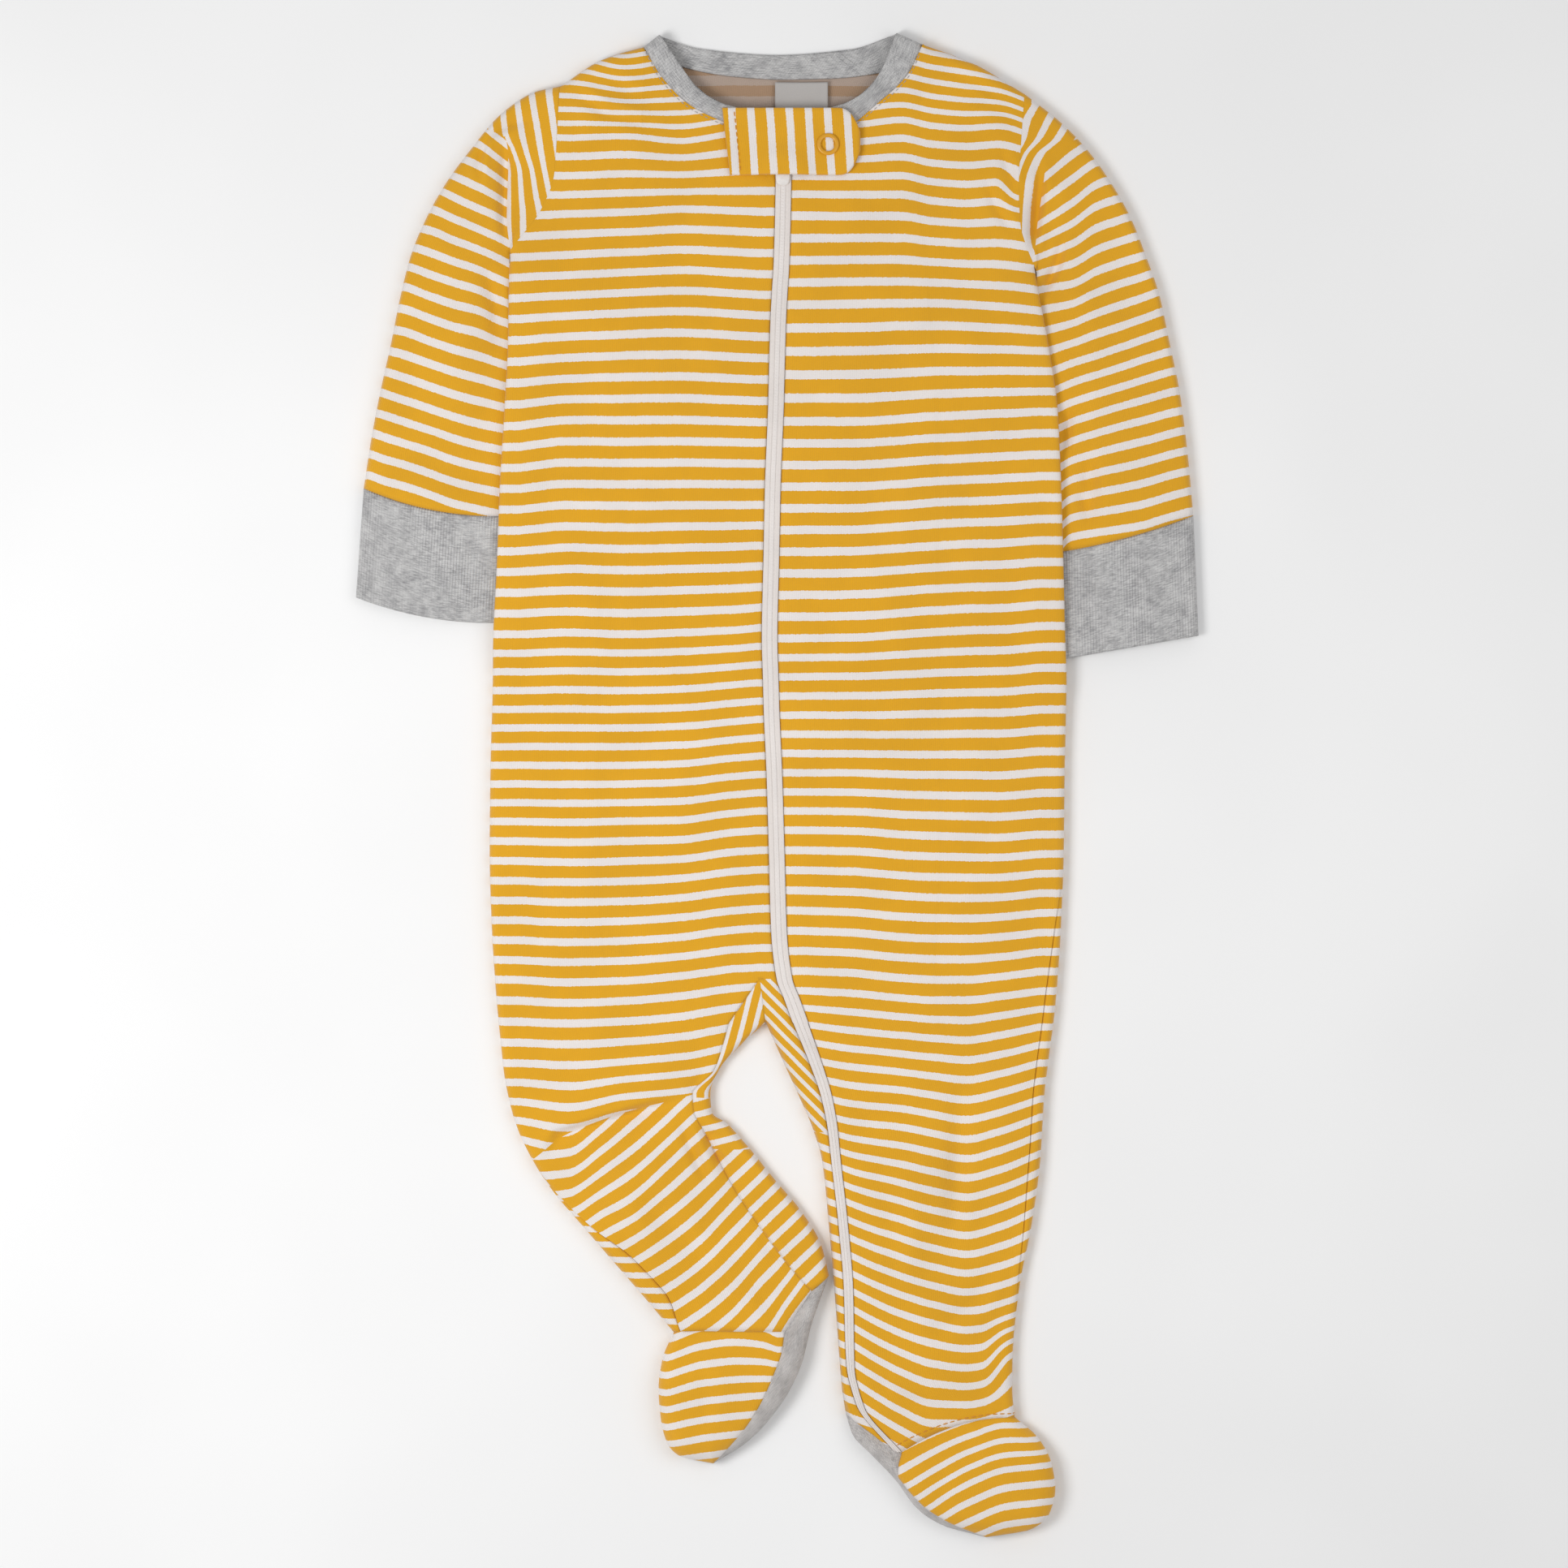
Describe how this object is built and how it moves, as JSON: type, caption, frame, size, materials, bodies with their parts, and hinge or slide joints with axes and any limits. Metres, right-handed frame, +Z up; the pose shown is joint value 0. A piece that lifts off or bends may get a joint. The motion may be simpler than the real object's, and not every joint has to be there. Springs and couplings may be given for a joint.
{
  "type": "footed baby sleepsuit",
  "caption": "Striped long-sleeved footed baby sleepsuit with a front zip to one ankle, laid flat on its back with one knee bent.",
  "frame": {"origin": "the middle of the garment's bounding box, at the height of the surface it lies on", "axes": "+X to the right as seen from above with the neck at the top, +Y from the feet to the neck, +Z up from the surface"},
  "size_m": [0.3464, 0.6178, 0.013],
  "materials": {
    "striped_jersey": "cotton interlock jersey, mustard with off-white stripes",
    "grey_rib": "fine heather grey rib knit",
    "grey_sole": "heather grey jersey sole",
    "zip_tape": "white woven zip tape",
    "zip_coil": "white nylon coil teeth",
    "zip_slider": "white coated slider",
    "snap_enamel": "mustard enamelled ring snap",
    "label_satin": "blank white woven satin label"
  },
  "bodies": {
    "root": {"front_left": "striped_jersey", "front_right": "striped_jersey", "back": "striped_jersey", "sleeve_left": "striped_jersey", "sleeve_right": "striped_jersey", "toe_cap_left": "striped_jersey", "toe_cap_right": "striped_jersey", "sole_left": "grey_sole", "sole_right": "grey_sole", "cuff_left": "grey_rib", "cuff_right": "grey_rib", "neckband": "grey_rib", "zip_tape_left": "zip_tape", "zip_tape_right": "zip_tape", "zip_chain": "zip_coil", "zip_slider": "zip_slider", "neck_tab": "striped_jersey", "snap_ring": "snap_enamel", "neck_label": "label_satin"}
  },
  "joints": []
}
